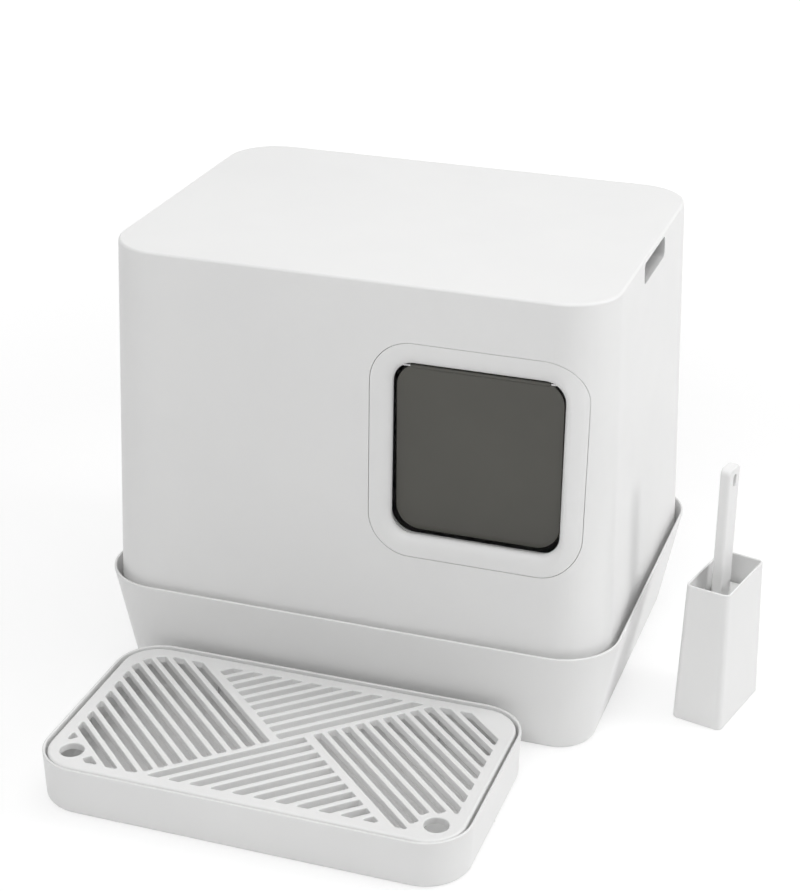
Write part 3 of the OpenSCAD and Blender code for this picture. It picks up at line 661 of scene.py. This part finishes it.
# half: the floor's half width; near and far: distances in metres over which it turns from share to all white
floorDict = dict(half=6000.0, z=-0.5, tone=0.9, glow=1.15, near=0.8, far=2.4, share=0.58)
skyDict = dict(light=0.45, seen=1.0)  # strengths of the world as a light and as a background


def seenDirectly(tree):
    # 1 for camera, glossy and transmission rays; 0 for the rays that light the object
    path = addNode(tree, "ShaderNodeLightPath")
    value = path.outputs["Is Camera Ray"]
    for output in ("Is Glossy Ray", "Is Transmission Ray"):
        either = addNode(tree, "ShaderNodeMath", operation="MAXIMUM")
        tree.links.new(value, either.inputs[0])
        tree.links.new(path.outputs[output], either.inputs[1])
        value = either.outputs[0]
    return value


def whiteShare(tree):
    # how white the floor is drawn: partly near the object, so that its shadow shows, and wholly far off
    away = addNode(tree, "ShaderNodeVectorMath", operation="LENGTH")
    tree.links.new(addNode(tree, "ShaderNodeTexCoord").outputs["Object"], away.inputs[0])
    fade = mapRange(tree, away.outputs["Value"], floorDict["near"], floorDict["far"], floorDict["share"], 1.0)
    part = addNode(tree, "ShaderNodeMath", operation="MULTIPLY")
    tree.links.new(seenDirectly(tree), part.inputs[0])
    tree.links.new(fade, part.inputs[1])
    return part.outputs[0]


def mixInto(tree, share, first, second, output):
    # the two shaders mixed and sent to the output: first * (1 - share) + second * share
    blend = addNode(tree, "ShaderNodeMixShader")
    for socket, source in enumerate((share, first.outputs[0], second.outputs[0])):
        tree.links.new(source, blend.inputs[socket])
    tree.links.new(blend.outputs[0], addNode(tree, output).inputs["Surface"])


floorMaterial = bpy.data.materials.new("floorWhite")
floorMaterial.use_nodes = True
tree = floorMaterial.node_tree
tree.nodes.clear()
matt = addNode(tree, "ShaderNodeBsdfDiffuse")
matt.inputs["Color"].default_value = (floorDict["tone"], floorDict["tone"], floorDict["tone"], 1)
glow = addNode(tree, "ShaderNodeEmission")
glow.inputs["Color"].default_value = (1, 1, 1, 1)
glow.inputs["Strength"].default_value = floorDict["glow"]
mixInto(tree, whiteShare(tree), matt, glow, "ShaderNodeOutputMaterial")
floorCorners = [(x * floorDict["half"], y * floorDict["half"], floorDict["z"])
                for x, y in ((-1, -1), (1, -1), (1, 1), (-1, 1))]
makeMesh("floor", floorCorners, [(0, 1, 2, 3)], floorMaterial)

world = bpy.data.worlds.new("studio")
bpy.context.scene.world = world
world.use_nodes = True
tree = world.node_tree
tree.nodes.clear()
dim = addNode(tree, "ShaderNodeBackground")
dim.inputs["Strength"].default_value = skyDict["light"]
bright = addNode(tree, "ShaderNodeBackground")
bright.inputs["Color"].default_value = (1, 1, 1, 1)
bright.inputs["Strength"].default_value = skyDict["seen"]
mixInto(tree, seenDirectly(tree), dim, bright, "ShaderNodeOutputWorld")
print("made floor and world")

# soft round lamps: place, aim, diameter in metres and watts
lampDict = dict(lampTop=((0.3, 0.2, 3.2), (0, 0, 0.2), 2.6, 35),
                lampRight=((3.0, 0.4, 1.5), (0, 0, 0.25), 1.2, 31),
                lampLeft=((-2.6, -1.8, 1.2), (0, 0, 0.25), 2.0, 2),
                lampFront=((0.2, -2.6, 2.6), (0, -0.2, 0.2), 1.8, 31))
for name, (place, aim, size, power) in lampDict.items():
    data = bpy.data.lights.new(name, "AREA")
    data.shape = "DISK"
    data.size = size
    data.energy = power
    lamp = bpy.data.objects.new(name, data)
    lamp.location = place
    lamp.rotation_euler = (Vector(aim) - Vector(place)).to_track_quat("-Z", "Y").to_euler()
    bpy.context.scene.collection.objects.link(lamp)
    print("lit", name)

# camera fitted to the hood's edges in the photograph, in degrees, metres and millimetres of lens; down and
# widen: how far it is turned down and its lens shortened from that fit
cameraDict = dict(azimuth=18.81189, tilt=24.56767, roll=0.32152, down=0.558, place=(0.6704, -1.9940, 1.2214),
                  sensor=36, lens=89.16, widen=0.93, farClip=50)
azimuth, tilt, roll, down = (math.radians(cameraDict[key]) for key in ("azimuth", "tilt", "roll", "down"))
back = Vector((math.sin(azimuth) * math.cos(tilt), -math.cos(azimuth) * math.cos(tilt), math.sin(tilt)))
right = Vector((math.cos(azimuth), math.sin(azimuth), 0))
up = back.cross(right)
right, up = math.cos(roll) * right + math.sin(roll) * up, -math.sin(roll) * right + math.cos(roll) * up
back, up = math.cos(down) * back + math.sin(down) * up, math.cos(down) * up - math.sin(down) * back
cameraData = bpy.data.cameras.new("camera")
cameraData.sensor_width = cameraDict["sensor"]
cameraData.lens = cameraDict["lens"] * cameraDict["widen"]
cameraData.clip_end = cameraDict["farClip"]
camera = bpy.data.objects.new("camera", cameraData)
camera.matrix_world = (Matrix.Translation(cameraDict["place"])
                       @ Matrix((right, up, back)).transposed().to_4x4())
bpy.context.scene.collection.objects.link(camera)
bpy.context.scene.camera = camera
bpy.context.scene.view_settings.view_transform = "Standard"
print("set camera", round(cameraData.lens, 2))
